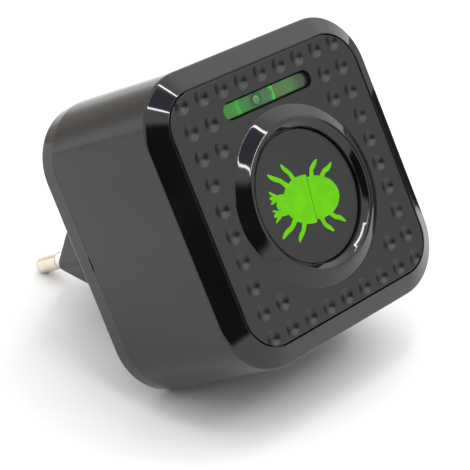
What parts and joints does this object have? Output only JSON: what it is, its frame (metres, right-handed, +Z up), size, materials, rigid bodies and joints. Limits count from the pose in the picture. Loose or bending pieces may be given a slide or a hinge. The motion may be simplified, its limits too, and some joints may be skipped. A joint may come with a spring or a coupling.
{
  "type": "plug-in ultrasonic pest repeller",
  "caption": "Square black plug-in ultrasonic pest repeller with rounded corners, a dimpled front, a raised sounder ring and a slim green light window.",
  "frame": {"origin": "centre of the plug's end face, which meets the socket", "axes": "+Y along the pins into the socket, +Z up, +X to the right seen from the front"},
  "size_m": [0.066, 0.0904, 0.0656],
  "materials": {
    "gloss_black_shell": "glossy injection-moulded black ABS",
    "satin_black_panel": "satin, finely textured black ABS",
    "plug_black": "semi-matte black polycarbonate",
    "green_print": "flat bright green pad print",
    "green_lens": "polished translucent green polycarbonate",
    "light_channel": "matt dark moulded channel",
    "led_body": "clear green-tinted epoxy",
    "white_holder": "off-white moulded nylon",
    "foam": "closed-cell black foam",
    "piezo_brass": "rolled thin brass",
    "piezo_ceramic": "fired and silvered ceramic",
    "red_wire": "PVC insulation",
    "brown_wire": "PVC insulation",
    "blue_wire": "PVC insulation",
    "board_laminate": "phenolic paper laminate",
    "solder_tin": "bright solder",
    "film_yellow": "moulded box, epoxy filled",
    "can_sleeve": "shrunk PVC sleeve on an aluminium can",
    "epoxy_black": "moulded epoxy",
    "ferrite": "sintered ferrite",
    "enamelled_copper": "enamelled copper wire",
    "varistor_blue": "dipped epoxy",
    "resistor_tan": "lacquered ceramic body",
    "pin_brass": "nickel-plated turned brass",
    "pin_sleeve": "off-white moulded insulation",
    "screw_steel": "zinc-plated steel",
    "label_film": "plain grey polyester film"
  },
  "bodies": {
    "root": {"housing": "gloss_black_shell", "rear_cover": "gloss_black_shell", "front_panel": "satin_black_panel", "speaker_ring": "gloss_black_shell", "centre_disc": "satin_black_panel", "mite_icon": "green_print", "light_window": "green_lens", "light_shroud": "light_channel", "indicator_led": "led_body", "sounder_holder": "white_holder", "foam_gasket": "foam", "piezo_plate": "piezo_brass", "piezo_ceramic": "piezo_ceramic", "piezo_wires": "red_wire", "main_board": "board_laminate", "solder_joints": "solder_tin", "board_screws": "screw_steel", "film_capacitor": "film_yellow", "electrolytic_capacitor": "can_sleeve", "bridge_rectifier": "epoxy_black", "controller_ic": "epoxy_black", "coil_core": "ferrite", "coil_winding": "enamelled_copper", "varistor": "varistor_blue", "resistors": "resistor_tan", "diodes": "epoxy_black", "transistors": "epoxy_black", "plug_insert": "plug_black", "left_pin": "pin_brass", "right_pin": "pin_brass", "left_sleeve": "pin_sleeve", "right_sleeve": "pin_sleeve", "live_wire": "brown_wire", "neutral_wire": "blue_wire", "cover_screws": "screw_steel", "rating_label": "label_film"}
  },
  "joints": []
}
